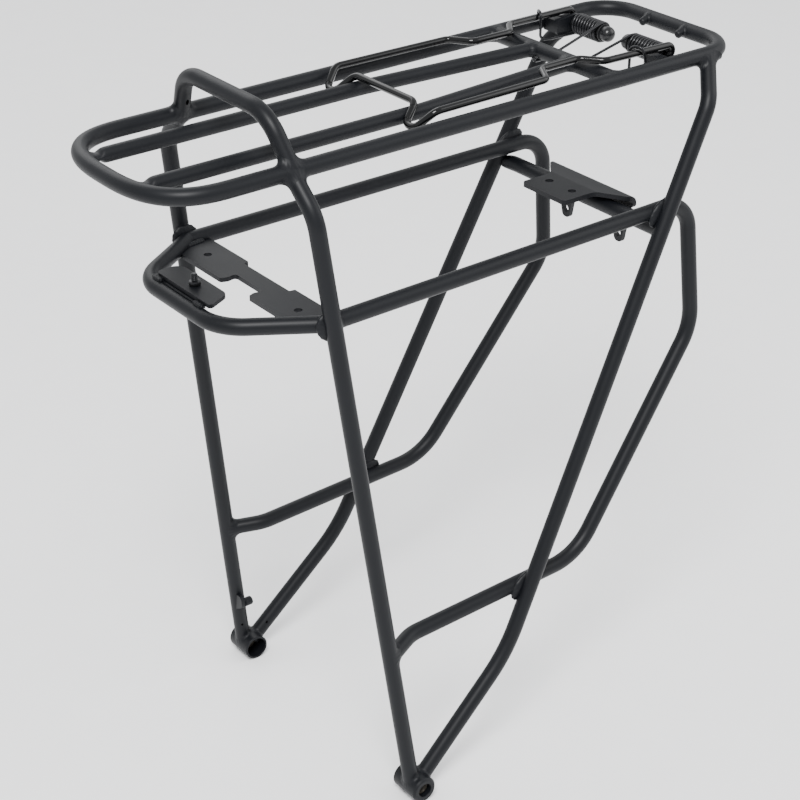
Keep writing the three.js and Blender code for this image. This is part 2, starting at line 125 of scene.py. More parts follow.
@dataclass
class Surface:
    """A mesh in millimetres: corner points and faces."""

    points: Array
    faces: list[list[int]]

    def volume(self) -> float:
        """The signed volume, from the triangles that fan out from each face's first corner.

        Returns:
            Cubic millimetres, above zero where the faces look outward.
        """
        quads = np.array([f if len(f) == 4 else [*f, f[-1]] for f in self.faces])
        a, b, c, d = (self.points[quads[:, k]] for k in range(4))
        first = np.einsum("ij,ij->i", a, np.cross(b, c))
        second = np.einsum("ij,ij->i", a, np.cross(c, d))
        return float((first + second).sum() / 6)


def unit(v: Array) -> Array:
    """v divided by its length, row by row."""
    v = np.asarray(v, float)
    return v / np.linalg.norm(v, axis=-1, keepdims=True)


def bent_path(corners: Sequence[Sequence[float]], closed: bool = False, step: float = 3.0) -> Array:
    """A polyline whose corners are arcs.

    Each arc leaves the straight a tangent length r tan(turn / 2) before its corner and turns about a
    centre r away, on the inner side.

    Args:
        corners: x, y, z and bend radius of each corner.
        closed: Whether the last corner joins the first.
        step: Degrees of turn between two points of an arc.

    Returns:
        The points of the path, one per row.
    """
    rows = [np.array(list(c) + [0.0] * (4 - len(c)), float) for c in corners]
    count = len(rows)
    parts: list[Array] = []
    for i, row in enumerate(rows):
        here, radius = row[:3], row[3]
        if radius == 0 or (not closed and i in (0, count - 1)):
            parts.append(here[None])
            continue
        into = unit(here - rows[i - 1][:3])
        out = unit(rows[(i + 1) % count][:3] - here)
        turn = math.acos(float(np.clip(into @ out, -1, 1)))
        inward = unit(out - into * (into @ out))
        start = here - into * radius * math.tan(turn / 2)
        angle = np.linspace(0, turn, max(3, int(math.degrees(turn) / step) + 2))[:, None]
        centre = start + inward * radius
        parts.append(centre - inward * radius * np.cos(angle) + into * radius * np.sin(angle))
    return np.concatenate(parts)


def spaced(path: Array, gap: float, closed: bool = False) -> Array:
    """The path with points added, evenly along each of its straight stretches.

    Args:
        path: The points of the path, one per row.
        gap: The longest stretch that is left.
        closed: Whether the last point joins the first.

    Returns:
        The points of the same path, one per row.
    """
    ends = np.concatenate([path, path[:1]]) if closed else path
    runs = np.diff(ends, axis=0)
    counts = np.maximum(1, np.ceil(np.linalg.norm(runs, axis=1) / gap)).astype(int)
    start = np.repeat(ends[:-1], counts, axis=0)
    run = np.repeat(runs, counts, axis=0)
    before = np.repeat(np.cumsum(counts) - counts, counts)
    share = (np.arange(counts.sum()) - before) / np.repeat(counts, counts)
    points = start + run * share[:, None]
    return points if closed else np.concatenate([points, ends[-1:]])


def grid_faces(rows: int, columns: int, wrap_rows: bool) -> list[list[int]]:
    """Quads of a grid whose columns always close on themselves.

    Args:
        rows: The number of rows of points.
        columns: The number of points in each row.
        wrap_rows: Whether the last row joins the first.

    Returns:
        Four point numbers for each quad.
    """
    r = np.arange(rows if wrap_rows else rows - 1)[:, None]
    c = np.arange(columns)[None]
    a = r * columns + c
    b = r * columns + (c + 1) % columns
    up = ((r + 1) % rows) * columns
    quads = np.stack([a, b, up + (c + 1) % columns, up + c], axis=-1)
    return quads.reshape(-1, 4).tolist()


def ring_surface(rings: Array, closed: bool) -> Surface:
    """A skin over rings of points; an open row of rings gets a flat cap at each end.

    Args:
        rings: The points, as rings by points by x, y, z.
        closed: Whether the last ring joins the first.

    Returns:
        The closed surface, with its faces looking outward.
    """
    rows, columns = rings.shape[:2]
    faces = grid_faces(rows, columns, closed)
    points = rings.reshape(-1, 3)
    if not closed:
        points = np.concatenate([points, rings[:1].mean(1), rings[-1:].mean(1)])
        ring = np.arange(columns)
        after = (ring + 1) % columns
        first = np.stack([np.full(columns, rows * columns), after, ring], 1)
        base = (rows - 1) * columns
        last = np.stack([np.full(columns, rows * columns + 1), base + ring, base + after], 1)
        faces += first.tolist() + last.tolist()
    surface = Surface(points, faces)
    if surface.volume() < 0:
        surface.faces = [f[::-1] for f in surface.faces]
    return surface


def sweep(
    path: Array,
    radius: float | Array,
    reference: Array = Z_AXIS,
    sides: int = 40,
    closed: bool = False,
    height: float | Array | None = None,
) -> Surface:
    """A round or oval section carried along a path.

    At each point the section lies square to the path: its width runs along reference x tangent, and its
    height along tangent x width. A point of it is centre + w cos(a) width + h sin(a) height.

    Args:
        path: The centreline, one point per row.
        radius: Half the width, one value or one per point.
        reference: A direction that the path never runs along.
        sides: Points round the section.
        closed: Whether the path is a loop.
        height: Half the height where it isn't the half width.

    Returns:
        The closed surface.
    """
    before = np.roll(path, 1, axis=0)
    after = np.roll(path, -1, axis=0)
    if not closed:
        before[0], after[-1] = path[0] - (path[1] - path[0]), path[-1] + (path[-1] - path[-2])
    tangent = unit(unit(path - before) + unit(after - path))
    width = unit(np.cross(reference, tangent))
    rise = np.cross(tangent, width)
    half_w = np.broadcast_to(radius, len(path))[:, None, None]
    half_h = half_w if height is None else np.broadcast_to(height, len(path))[:, None, None]
    angle = np.linspace(0, 2 * np.pi, sides, endpoint=False)[None, :, None]
    rings = path[:, None] + half_w * np.cos(angle) * width[:, None] + half_h * np.sin(angle) * rise[:, None]
    return ring_surface(rings, closed)


def turned(profile: Array, centre: Sequence[float], axis: Array = Y_AXIS, sides: int = 56) -> Surface:
    """A closed profile of (radius, distance along the axis) carried round an axis.

    Args:
        profile: The corners of the section, one per row, as a closed loop off the axis.
        centre: A point of the axis that distances are counted from.
        axis: The direction of the axis.
        sides: Steps of the full turn.

    Returns:
        The closed surface.
    """
    along = unit(axis)
    u = unit(np.cross(along, SKEW))
    v = np.cross(along, u)
    angle = np.linspace(0, 2 * np.pi, sides, endpoint=False)[:, None, None]
    spoke = u * np.cos(angle) + v * np.sin(angle)
    rings = np.asarray(centre, float) + spoke * profile[None, :, :1] + along * profile[None, :, 1:]
    return ring_surface(rings, True)


def rounded(corners: Sequence[Sequence[float]], radius: float) -> Array:
    """A closed profile with every corner rounded; a corner may give its own radius as a third value."""
    rows = [[c[0], c[1], 0.0, c[2] if len(c) > 2 else radius] for c in corners]
    return bent_path(rows, closed=True, step=15)[:, :2]


# ---- finishes ----


def socket_group(name: str, inputs: dict[str, float], outputs: dict[str, str]) -> bpy.types.NodeTree:
    """A new shader node group.

    Args:
        name: Its name.
        inputs: Float inputs with their default values.
        outputs: Output names and socket types.

    Returns:
        The empty group with its two end nodes.
    """
    group = bpy.data.node_groups.new(name, "ShaderNodeTree")
    group.interface.new_socket("Vector", in_out="INPUT", socket_type="NodeSocketVector")
    for label, value in inputs.items():
        group.interface.new_socket(label, in_out="INPUT", socket_type="NodeSocketFloat").default_value = value
    for label, kind in outputs.items():
        group.interface.new_socket(label, in_out="OUTPUT", socket_type=kind)
    group.nodes.new("NodeGroupInput").name = "in"
    group.nodes.new("NodeGroupOutput").name = "out"
    return group


def noise(
    tree: bpy.types.NodeTree, vector: bpy.types.NodeSocket, scale: float, detail: float,
) -> bpy.types.Node:
    """A noise texture.

    Args:
        tree: The tree that it is put in.
        vector: The coordinates that it follows.
        scale: Waves per metre.
        detail: Finer layers on top of the first.

    Returns:
        The texture node.
    """
    node = tree.nodes.new("ShaderNodeTexNoise")
    node.inputs["Scale"].default_value = scale
    node.inputs["Detail"].default_value = detail
    tree.links.new(vector, node.inputs["Vector"])
    return node


def math_node(tree: bpy.types.NodeTree, kind: str, a: object, b: object) -> bpy.types.NodeSocket:
    """The result of a math node.

    Args:
        tree: The tree that it is put in.
        kind: Blender's name of the operation.
        a: The first operand, a socket or a number.
        b: The second operand.

    Returns:
        The socket with the result.
    """
    node = tree.nodes.new("ShaderNodeMath")
    node.operation = kind
    for index, value in enumerate((a, b)):
        if isinstance(value, bpy.types.NodeSocket):
            tree.links.new(value, node.inputs[index])
        else:
            node.inputs[index].default_value = value
    return node.outputs[0]


def coat_grain_group() -> bpy.types.NodeTree:
    """Powder coat: a fine orange peel over a slow swell.

    Returns:
        The group. Height adds peel x depth to swell x a third of it, and Patch is a slow mask from 0 to 1.
    """
    if found := bpy.data.node_groups.get("coat_grain"):
        return found
    group = socket_group(
        "coat_grain", {"Peel Depth": 1.0}, {"Height": "NodeSocketFloat", "Patch": "NodeSocketFloat"}
    )
    start, end = group.nodes["in"], group.nodes["out"]
    peel = noise(group, start.outputs["Vector"], 1500, 2)
    swell = noise(group, start.outputs["Vector"], 260, 1)
    patch = noise(group, start.outputs["Vector"], 34, 3)
    deep = math_node(group, "MULTIPLY", peel.outputs["Fac"], start.outputs["Peel Depth"])
    soft = math_node(group, "MULTIPLY", swell.outputs["Fac"], 0.33)
    group.links.new(math_node(group, "ADD", deep, soft), end.inputs["Height"])
    group.links.new(patch.outputs["Fac"], end.inputs["Patch"])
    return group


def scuff_group() -> bpy.types.NodeTree:
    """Fine rubbing marks: thin stretched noise, kept only where a slow mask lets it through.

    Returns:
        The group, with one Mask output from 0 to 1.
    """
    if found := bpy.data.node_groups.get("scuff"):
        return found
    group = socket_group("scuff", {"Amount": 0.4}, {"Mask": "NodeSocketFloat"})
    start, end = group.nodes["in"], group.nodes["out"]
    stretch = group.nodes.new("ShaderNodeMapping")
    stretch.inputs["Scale"].default_value = (1.0, 6.0, 6.0)
    group.links.new(start.outputs["Vector"], stretch.inputs["Vector"])
    lines = noise(group, stretch.outputs[0], 420, 3)
    where = noise(group, start.outputs["Vector"], 22, 2)
    sharp = group.nodes.new("ShaderNodeMapRange")
    sharp.inputs["From Min"].default_value = 0.58
    sharp.inputs["From Max"].default_value = 0.72
    group.links.new(lines.outputs["Fac"], sharp.inputs["Value"])
    gate = group.nodes.new("ShaderNodeMapRange")
    gate.inputs["From Min"].default_value = 0.5
    gate.inputs["From Max"].default_value = 0.7
    group.links.new(where.outputs["Fac"], gate.inputs["Value"])
    both = math_node(group, "MULTIPLY", sharp.outputs[0], gate.outputs[0])
    group.links.new(math_node(group, "MULTIPLY", both, start.outputs["Amount"]), end.inputs["Mask"])
    return group


@dataclass(frozen=True)
class Finish:
    """A coated or bare surface: colour, gloss and how its grain stands."""

    name: str
    colour: tuple[float, float, float]
    lighter: tuple[float, float, float]
    roughness: float
    metallic: float = 0.0
    specular: float = 0.5
    coat: float = 0.0
    coat_roughness: float = 0.2
    grain_depth: float = 1.0
    grain_strength: float = 0.12
    scuffs: float = 0.35
    gloss_spread: float = 0.08

    def material(self) -> bpy.types.Material:
        """This finish as a Blender material, made once.

        Returns:
            The material, whose patterns follow Object coordinates.
        """
        if found := bpy.data.materials.get(self.name):
            return found
        made = bpy.data.materials.new(self.name)
        made.use_nodes = True
        tree = made.node_tree
        shader = tree.nodes["Principled BSDF"]
        shader.inputs["Metallic"].default_value = self.metallic
        shader.inputs["Specular IOR Level"].default_value = self.specular
        shader.inputs["Coat Weight"].default_value = self.coat
        shader.inputs["Coat Roughness"].default_value = self.coat_roughness
        place = tree.nodes.new("ShaderNodeTexCoord").outputs["Object"]
        grain = self._group(tree, coat_grain_group(), place, {"Peel Depth": self.grain_depth})
        scuff = self._group(tree, scuff_group(), place, {"Amount": self.scuffs})
        self._tint(tree, grain, scuff, shader)
        self._gloss(tree, grain, scuff, shader)
        bump = tree.nodes.new("ShaderNodeBump")
        bump.inputs["Strength"].default_value = self.grain_strength
        bump.inputs["Distance"].default_value = BUMP_HEIGHT * MM
        tree.links.new(grain.outputs["Height"], bump.inputs["Height"])
        tree.links.new(bump.outputs["Normal"], shader.inputs["Normal"])
        return made

    @staticmethod
    def _group(
        tree: bpy.types.NodeTree, group: bpy.types.NodeTree, place: bpy.types.NodeSocket,
        values: dict[str, float],
    ) -> bpy.types.Node:
        """A node group placed in a material.

        Args:
            tree: The material's tree.
            group: The shared group.
            place: The coordinates that it follows.
            values: What its inputs are set to.

        Returns:
            The group's node.
        """
        node = tree.nodes.new("ShaderNodeGroup")
        node.node_tree = group
        tree.links.new(place, node.inputs["Vector"])
        for label, value in values.items():
            node.inputs[label].default_value = value
        return node

    def _tint(
        self, tree: bpy.types.NodeTree, grain: bpy.types.Node, scuff: bpy.types.Node, shader: bpy.types.Node
    ) -> None:
        """Base colour: the two tones mixed by the slow patch, and lighter again on the scuffs.

        Args:
            tree: The material's tree.
            grain: The coat grain node.
            scuff: The scuff node.
            shader: The Principled node.
        """
        tone = tree.nodes.new("ShaderNodeMix")
        tone.data_type = "RGBA"
        tone.inputs["A"].default_value = (*self.colour, 1.0)
        tone.inputs["B"].default_value = (*self.lighter, 1.0)
        tree.links.new(grain.outputs["Patch"], tone.inputs["Factor"])
        worn = tree.nodes.new("ShaderNodeMix")
        worn.data_type = "RGBA"
        worn.inputs["B"].default_value = (*(min(1.0, 1.35 * c + 0.006) for c in self.lighter), 1.0)
        tree.links.new(scuff.outputs["Mask"], worn.inputs["Factor"])
        tree.links.new(tone.outputs["Result"], worn.inputs["A"])
        tree.links.new(worn.outputs["Result"], shader.inputs["Base Color"])

    def _gloss(
        self, tree: bpy.types.NodeTree, grain: bpy.types.Node, scuff: bpy.types.Node, shader: bpy.types.Node
    ) -> None:
        """Roughness: the base value plus the patch and scuff masks, each scaled.

        Args:
            tree: The material's tree.
            grain: The coat grain node.
            scuff: The scuff node.
            shader: The Principled node.
        """
        patch = math_node(tree, "MULTIPLY", grain.outputs["Patch"], self.gloss_spread)
        rubbed = math_node(tree, "MULTIPLY", scuff.outputs["Mask"], SCUFF_DULLING)
        marks = math_node(tree, "ADD", patch, rubbed)
        total = math_node(tree, "ADD", marks, self.roughness - self.gloss_spread / 2)
        tree.links.new(total, shader.inputs["Roughness"])


POWDER_COAT = Finish(
    "powder_coat_satin", (0.0032, 0.0037, 0.005), (0.0048, 0.0055, 0.0072), 0.44, specular=0.19,
    grain_strength=0.2,
)
SHEET_COAT = Finish(
    "powder_coat_sheet", (0.0036, 0.0041, 0.0054), (0.0052, 0.0058, 0.0075), 0.48, specular=0.18,
    grain_strength=0.22,
)
GLOSS_WIRE = Finish(
    "dipped_wire_gloss", (0.002, 0.0021, 0.0024), (0.003, 0.0031, 0.0036), 0.12, specular=0.25, coat=0.1,
    coat_roughness=0.05, grain_strength=0.04, scuffs=0.25,
)
BLACK_SPRING = Finish(
    "oiled_spring_steel", (0.006, 0.0063, 0.0075), (0.012, 0.0125, 0.0145), 0.22, metallic=0.3, specular=0.35,
    grain_strength=0.05,
)
BLACK_ZINC = Finish("black_zinc_stud", (0.014, 0.0145, 0.016), (0.024, 0.0245, 0.027), 0.33, metallic=0.7)
# Brass darkened far below bare brass: painted shade of the deep lug bore that the insert sits in; the brass
# tone, its roughness and its scuffs are its own.
BRASS_WITH_BORE_SHADE = Finish(
    "brass_insert_bore_shade", (0.03, 0.026, 0.02), (0.055, 0.047, 0.036), 0.45, metallic=0.4, scuffs=0.6,
)
NYLON = Finish("black_nylon_sleeve", (0.006, 0.0063, 0.007), (0.009, 0.0094, 0.0105), 0.5, specular=0.3)
CAP_PLASTIC = Finish(
    "black_plastic_cap", (0.005, 0.0052, 0.006), (0.009, 0.0094, 0.0105), 0.24, specular=0.35,
)
# Near-black lens colour for the drilled holes: painted shade of the hollow inside, not a colour of the coat.
HOLE_PAINTED_SHADE = Finish(
    "painted_hole_shade", (0.0006, 0.0006, 0.0007), (0.001, 0.001, 0.0012), 0.9, specular=0.0,
    grain_strength=0.05, scuffs=0.0,
)


# ---- pieces ----


@dataclass
class Bench:
    """Puts surfaces into the scene as pieces of the carrier."""

    made: list[str] = field(default_factory=list)

    def add(
        self, name: str, surface: Surface, finish: Finish, slot: Slot, nodes: Iterable[str] = (),
        body: Body | None = Body.RACK, crease: float = 38,
    ) -> bpy.types.Object:
        """One new piece.

        Args:
            name: The piece's name.
            surface: Its surface in millimetres.
            finish: Its finish.
            slot: Not used.
            nodes: CAD nodes that it stands for.
            body: The body that it rides on, or None, which leaves it on no body.
            crease: The least angle in degrees that stays a sharp edge.

        Returns:
            The new object, at the origin.
        """
        mesh = bpy.data.meshes.new(name)
        mesh.from_pydata((surface.points * MM).tolist(), [], surface.faces)
        mesh.validate()
        return self._finish(bpy.data.objects.new(name, mesh), finish, nodes, body, crease)

    def rounded_copy(self, node: str, name: str, finish: Finish, slot: Slot, width: float) -> bpy.types.Object:
        """A CAD solid's own shape with its edges rounded.

        Args:
            node: The CAD node.
            name: The piece's name.
            finish: Its finish.
            slot: Not used.
            width: How far the rounding reaches from each edge, in millimetres.

        Returns:
            The new object.
        """
        mesh = bpy.data.meshes.new(name)
        work = bmesh.new()
        work.from_mesh(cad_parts[node].data)
        bmesh.ops.remove_doubles(work, verts=work.verts, dist=SAME_POINT * MM)
        flat = math.radians(FLAT_DEGREES)
        bmesh.ops.dissolve_limit(work, angle_limit=flat, verts=work.verts, edges=work.edges)
        work.to_mesh(mesh)
        work.free()
        for label in ("custom_normal", "UVMap"):
            if mesh.attributes.get(label):
                mesh.attributes.remove(mesh.attributes[label])
        piece = self._finish(bpy.data.objects.new(name, mesh), finish, [node], Body.RACK, 50)
        edge = piece.modifiers.new("rounded_edges", "BEVEL")
        edge.width = width * MM
        edge.segments = 3
        edge.limit_method = "ANGLE"
        edge.angle_limit = math.radians(40)
        edge.harden_normals = True
        return piece

    def _finish(
        self, piece: bpy.types.Object, finish: Finish, nodes: Iterable[str],
        body: Body | None, crease: float,
    ) -> bpy.types.Object:
        """Links, shades and dresses a piece, hides the CAD nodes that it stands for and puts it on its body.

        Args:
            piece: The new object.
            finish: Its finish.
            nodes: CAD nodes that it stands for.
            body: The body that it rides on, or None.
            crease: The least angle in degrees that stays a sharp edge.

        Returns:
            The same object.
        """
        bpy.context.scene.collection.objects.link(piece)
        piece.data.materials.clear()
        piece.data.materials.append(finish.material())
        piece.data.shade_smooth()
        piece.data.set_sharp_from_angle(angle=math.radians(crease))
        if nodes:
            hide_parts(*nodes)
        if body is not None:
            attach(piece, body.value)
        self.made.append(piece.name)
        LOG.info("made %s with %d faces", piece.name, len(piece.data.polygons))
        return piece


# ---- welds ----


@dataclass(frozen=True)
class Weld:
    """Weld metal: its leg, ripples and fullness, how far a puddle overlaps, and how deep it is rooted."""

    leg: float = 3.1
    ripple: float = 0.1
    fullness: float = 0.2
    overlap: float = 1.27
    pitch: float = 1.9
    root_depth: float = 0.9
    proud: float = 0.03
    run_back: float = 60.0
    around: int = 96
    across: int = 9

    def butt(
        self, end: Array, direction: Array, radius: float, on: Array, along: Array, main_radius: float,
        seed: float = 0.0, squeeze: float = 1.0,
    ) -> Surface:
        """The bead round a tube that runs into the side of another.

        Each line of the ending tube's skin is followed to where it meets the main tube: the smaller
        root of |offset + s step|^2 = R^2 square to the main axis. From that point one leg of the bead
        runs back up the ending tube and the other over the main tube, and a quadratic curve joins them.

        Args:
            end: A point of the ending tube's axis, near the joint.
            direction: The way that it runs into the main tube.
            radius: Its radius.
            on: A point of the main tube's axis.
            along: The main tube's direction.
            main_radius: The main tube's radius.
            seed: Shifts the ripples, so that no two beads are alike.
            squeeze: The ending tube's height as a share of its width, where it is pinched flat.

        Returns:
            The closed ring of weld.
        """
        d, a = unit(direction), unit(along)
        u = unit(np.cross(a, d))
        v = np.cross(d, u)
        theta = np.linspace(0, 2 * np.pi, self.around, endpoint=False)[:, None]
        wide = unit(a - d * (a @ d))
        tall = np.cross(d, wide)
        if squeeze == 1.0:
            spoke = u * np.cos(theta) + v * np.sin(theta)
        else:
            spoke = wide * np.cos(theta) + tall * np.sin(theta) * squeeze
        start = end - d * self.run_back + radius * spoke
        offset = start - on
        offset = offset - (offset @ a)[:, None] * a
        step = d - (d @ a) * a
        half = offset @ step
        square = step @ step
        inside = np.maximum(half**2 - square * ((offset**2).sum(1) - main_radius**2), 0)
        root = (-half - np.sqrt(inside)) / square
        meet = start + root[:, None] * d
        centre = on + ((meet - on) @ a)[:, None] * a
        normal = unit(meet - centre)
        lean = spoke + 0.3 * d
        outward = unit(lean - (lean * normal).sum(1, keepdims=True) * normal)
        waves = np.round(2 * np.pi * radius / self.pitch)
        wobble = 1 + 0.1 * np.sin(2 * theta + seed) + 0.06 * np.sin(5 * theta + 2 * seed)
        leg = self.leg * wobble
        foot = meet + leg * outward
        centre = on + ((foot - on) @ a)[:, None] * a
        foot = centre + unit(foot - centre) * (main_radius + self.proud)
        head = meet - d * leg + self.proud * spoke
        lift = self.fullness * leg + self.ripple * np.sin(waves * theta + seed)
        bulge = unit(unit(spoke) + normal)
        middle = meet + bulge * lift
        deep = meet - bulge * self.root_depth
        t = np.linspace(0, 1, self.across)[None, :, None]
        curve = head[:, None] * (1 - t) ** 2 + middle[:, None] * 2 * t * (1 - t) + foot[:, None] * t**2
        return ring_surface(np.concatenate([curve, deep[:, None]], axis=1), True)

    def touch(
        self, on_a: Array, along_a: Array, on_b: Array, along_b: Array, radius: float, seed: float = 0.0,
    ) -> Surface:
        """The puddle of weld that fills the corners where two tubes lie against each other at an angle.

        It is an ellipsoid about the spot where the two axes pass closest. Where the axes cross at an
        angle A, its long axis lies in the narrow corners and is a little over R / sin(A / 2), its
        middle axis lies in the wide corners and is a little over R / cos(A / 2), and its short axis
        points from one tube to the other.

        Args:
            on_a: A point of the first tube's axis.
            along_a: Its direction.
            on_b: A point of the second tube's axis.
            along_b: Its direction.
            radius: The radius of both tubes.
            seed: Shifts the ripples.

        Returns:
            The closed puddle of weld.
        """
        a, b = unit(along_a), unit(along_b)
        b = b * np.sign(a @ b)
        between = unit(np.cross(a, b))
        slopes = np.array([[1.0, -(a @ b)], [a @ b, -1.0]])
        s, t = np.linalg.solve(slopes, [(on_b - on_a) @ a, (on_b - on_a) @ b])
        spot = (on_a + s * a + on_b + t * b) / 2
        half = math.acos(float(a @ b)) / 2
        narrow = unit(a + b)
        wide = np.cross(between, narrow)
        theta = np.linspace(0, 2 * np.pi, self.around, endpoint=False)[None, :, None]
        rise = np.linspace(0.02 * np.pi, 0.98 * np.pi, 33)[:, None, None]
        ripple = 1 + 0.012 * np.sin(17 * theta + seed)
        spread = radius * self.overlap * np.sin(rise) * ripple
        flat = np.cos(theta) / math.sin(half) * narrow + np.sin(theta) / math.cos(half) * wide
        return ring_surface(spot + spread * flat + self.leg * np.cos(rise) * between, False)


# ---- the carrier ----


@dataclass
class Stock:
    """The tube that the carrier is welded from."""

    tube: float = 5.0
    bar: float = 4.5
    sides: int = 48


@dataclass
class Deck:
    """The flat top: loop, two inner bars, cross tube, front pegs and rear hoop."""

    bench: Bench
    stock: Stock = field(default_factory=Stock)
    weld: Weld = field(default_factory=Weld)
    z: float = 409.4
    half: float = 57.5
    front_x: float = 281.5
    front_bend: float = 24.0
    rear_x: float = -82.0
    rear_reach: float = 45.5
    rear_power: float = 2.8
    bar_y: float = 26.8
    bar_front_y: float = 17.3
    bar_bend_x: float = 60.0
    bar_pinch_x: float = -115.5
    cross_x: float = 184.3
    peg_y: float = 16.5
    hoop_foot_x: float = -45.8
    hoop_top: tuple[float, float, float] = (-50.5, 41.5, 439.2)
    hoop_bend: float = 24.0

    def loop_path(self) -> Array:
        """The loop's centreline: a superellipse at the rear and two bends at the front.

        Returns:
            Points where x = rear - reach |cos a|^(2/p) and y = half sign(sin a) |sin a|^(2/p) at the rear.
        """
        angle = np.linspace(np.pi / 2, -np.pi / 2, 121)
        power = 2 / self.rear_power
        x = self.rear_x - self.rear_reach * np.abs(np.cos(angle)) ** power
        y = self.half * np.sign(np.sin(angle)) * np.abs(np.sin(angle)) ** power
        rear = np.stack([x, y, np.full_like(x, self.z)], axis=1)
        front = bent_path([
            (self.rear_x, -self.half, self.z),
            (self.front_x, -self.half, self.z, self.front_bend),
            (self.front_x, self.half, self.z, self.front_bend),
            (self.rear_x, self.half, self.z),
        ])
        return spaced(np.concatenate([rear, front[1:-1]]), 14, closed=True)

    def build(self) -> None:
        """Makes every piece of the deck."""
        finish, slot = POWDER_COAT, Slot.FRAME
        loop = sweep(self.loop_path(), self.stock.tube, Z_AXIS, self.stock.sides, closed=True)
        self.bench.add("deck_loop_tube", loop, finish, slot, ["deck_loop"])
        across = np.array([[self.cross_x, y, self.z] for y in (-self.half + 1.5, self.half - 1.5)])
        cross = sweep(spaced(across, 10), self.stock.tube, Z_AXIS, self.stock.sides)
        self.bench.add("deck_cross_bar", cross, finish, slot, ["deck_cross_tube"])
        for side in Side:
            self._bar(side)
            self._peg(side)
            self._cross_weld(side)
        self._hoop()

    def _bar(self, side: Side) -> None:
        """One inner bar, pinched to a flat oval where it meets the rear of the loop.

        Args:
            side: The side that it lies on.
        """
        x = self.bar_pinch_x + np.array([-10.5, -4.0, -1.6, -0.6, 0.4, 1.6, 2.8, 4.4])
        wide = np.array([4.3, 4.5, 4.75, 4.9, 4.85, 4.7, 4.55, self.stock.bar])
        tall = np.array([1.9, 2.0, 2.15, 2.6, 3.5, 4.2, 4.45, self.stock.bar])
        run = bent_path([
            (self.bar_pinch_x + 12, self.bar_y, self.z),
            (self.bar_bend_x, self.bar_y, self.z, 160),
            (self.cross_x - 1, self.bar_front_y, self.z),
        ], step=0.5)
        run = spaced(run, 16)
        pinched = np.stack([x, np.full_like(x, self.bar_y), np.full_like(x, self.z)], axis=1)
        path = side.place(np.concatenate([pinched, run]))
        wide = np.concatenate([wide, np.full(len(run), self.stock.bar)])
        tall = np.concatenate([tall, np.full(len(run), self.stock.bar)])
        bar = sweep(path, wide, Z_AXIS, self.stock.sides, height=tall)
        self.bench.add("deck_inner_bar" + side.tail, bar, POWDER_COAT, Slot.FRAME, ["deck_bar" + side.tail])
        ahead = path[-1] - path[-2]
        front = self.weld.butt(
            path[-1], ahead, self.stock.bar, np.array([self.cross_x, 0, self.z]), Y_AXIS, self.stock.tube,
            side.value,
        )
        self.bench.add("weld_bar_front" + side.tail, front, POWDER_COAT, Slot.FRAME)
        loop = self.loop_path()
        near = np.argmin(np.linalg.norm(loop - side.place([-124.0, self.bar_y, self.z]), axis=1))
        along = loop[(near + 1) % len(loop)] - loop[near - 1]
        small = Weld(leg=2.2)
        rear = small.butt(
            path[1], -X_AXIS, self.stock.bar, loop[near], along, self.stock.tube, 2.0 * side.value,
            squeeze=0.55,
        )
        self.bench.add("weld_bar_rear" + side.tail, rear, POWDER_COAT, Slot.FRAME)

    def _peg(self, side: Side) -> None:
        """One short round peg on the front tube, with a domed end.

        Args:
            side: The side that it stands on.
        """
        start = side.place([self.front_x - 3, self.peg_y, self.z + 1.2])
        way = unit(np.array([-1.0, 0.0, -0.36]))
        s = np.array([0, 2, 4, 5.5, 6.2, 6.8, 7.2, 7.45, 7.5])
        size = np.array([2.9, 2.8, 2.7, 2.65, 2.5, 2.1, 1.5, 0.8, 0.15])
        peg = sweep(start + s[:, None] * way, size, Z_AXIS, 24)
        self.bench.add("front_stop_peg" + side.tail, peg, POWDER_COAT, Slot.FRAME, ["front_peg" + side.tail])
        axis = np.array([self.front_x, 0, self.z])
        bead = Weld(leg=1.2, ripple=0.06).butt(start, -way, 2.8, axis, Y_AXIS, self.stock.tube, side.value)
        self.bench.add("weld_peg" + side.tail, bead, POWDER_COAT, Slot.FRAME)

    def _cross_weld(self, side: Side) -> None:
        """The bead where the cross tube ends on the loop.

        Args:
            side: The side of the loop.
        """
        rail = side.place([self.cross_x, self.half, self.z])
        end = side.place([self.cross_x, self.half - 12, self.z])
        tube = self.stock.tube
        bead = self.weld.butt(end, rail - end, tube, rail, X_AXIS, tube, 0.7 * side.value)
        self.bench.add("weld_cross" + side.tail, bead, POWDER_COAT, Slot.FRAME)

    def _hoop(self) -> None:
        """The rear hoop with its two feet welded on the loop, and the small vent on the left foot."""
        x, y, top = self.hoop_top
        foot = np.array([self.hoop_foot_x, self.half, self.z])
        corners = [
            (*(foot * [1, -1, 1]), 0), (x, -y, top, self.hoop_bend), (x, y, top, self.hoop_bend), (*foot, 0),
        ]
        path = spaced(bent_path(corners), 10)
        hoop = sweep(path, self.stock.tube, X_AXIS, self.stock.sides)
        self.bench.add("rear_hoop_tube", hoop, POWDER_COAT, Slot.FRAME, ["rear_hoop"])
        large = Weld(leg=4.4, fullness=0.12)
        for side in Side:
            place = side.place(foot)
            down = place - side.place([x, y, top])
            bead = large.butt(place, down, self.stock.tube, place, X_AXIS, self.stock.tube, 1.3 * side.value)
            self.bench.add("weld_hoop" + side.tail, bead, POWDER_COAT, Slot.FRAME)
        up = unit(np.array([x, y, top]) - foot)
        spot = foot + up * 13.5
        # The vent is a near-black lens: painted shade of the drilled hole.
        self.bench.add("hoop_vent", vent(spot, up, -Y_AXIS, self.stock.tube, 1.1, 2.3), HOLE_PAINTED_SHADE, Slot.FRAME)


